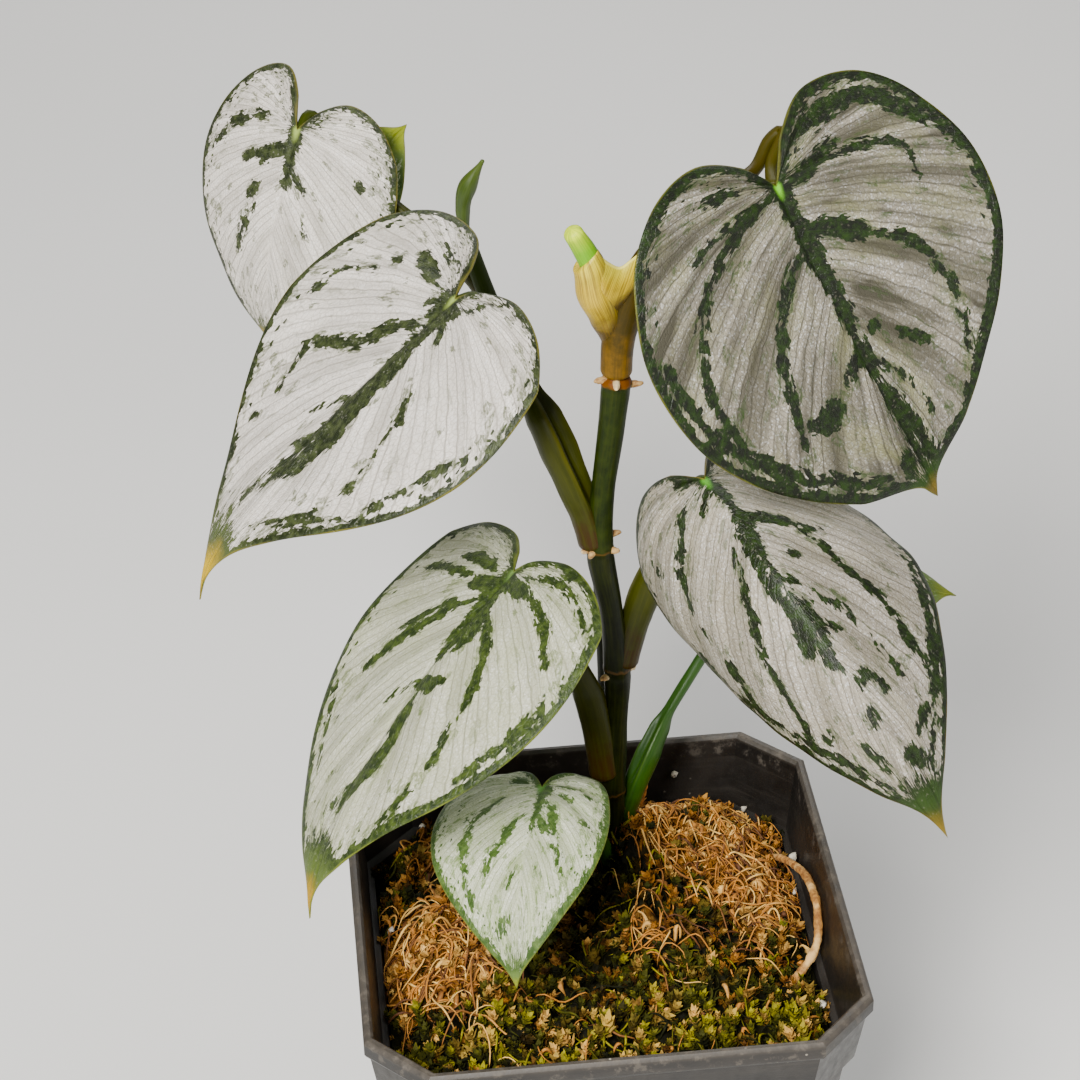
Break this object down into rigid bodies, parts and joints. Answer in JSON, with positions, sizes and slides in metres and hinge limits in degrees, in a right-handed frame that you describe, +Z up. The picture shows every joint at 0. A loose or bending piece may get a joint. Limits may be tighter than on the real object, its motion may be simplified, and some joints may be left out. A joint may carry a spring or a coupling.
{
  "type": "potted climbing philodendron",
  "caption": "Young climbing philodendron with heart-shaped silver leaves on winged stalks, in a square black nursery pot of moss.",
  "frame": {"origin": "centre of the pot's flat underside, where the pot stands", "axes": "+Z up along the plant, -Y to the front of the pot, from which the large leaves show, +X to the right seen from there"},
  "size_m": [0.1442, 0.1486, 0.2398],
  "materials": {
    "pot": "black, worn grey at the rim",
    "moss": "damp moss with dry fibres",
    "stem": "smooth green stem, brown at the nodes",
    "petiole": "satin olive green",
    "blade": "silver with dark green streaks, fine sparkling grain",
    "new_leaf": "satin fresh green",
    "new_sheath": "straw yellow with fine lines along it",
    "dry": "dry and fibrous"
  },
  "bodies": {
    "root": {"pot": "pot", "moss_bed": "moss", "main_stem": "stem", "back_stem": "stem", "petiole_upper_right": "petiole", "blade_upper_right": "blade", "petiole_upper_left": "petiole", "blade_upper_left": "blade", "petiole_lower_right": "petiole", "blade_lower_right": "blade", "petiole_lower_left": "petiole", "blade_lower_left": "blade", "petiole_small_front": "petiole", "blade_small_front": "blade", "petiole_behind_right": "petiole", "blade_behind_right": "blade", "petiole_back_left": "petiole", "blade_back_left": "blade", "petiole_back_small": "petiole", "blade_back_small": "blade", "new_leaf_roll": "new_leaf", "new_leaf_sheath": "new_sheath", "back_leaf_roll": "new_leaf", "dry_root": "dry", "dry_stalk": "dry"}
  },
  "joints": []
}
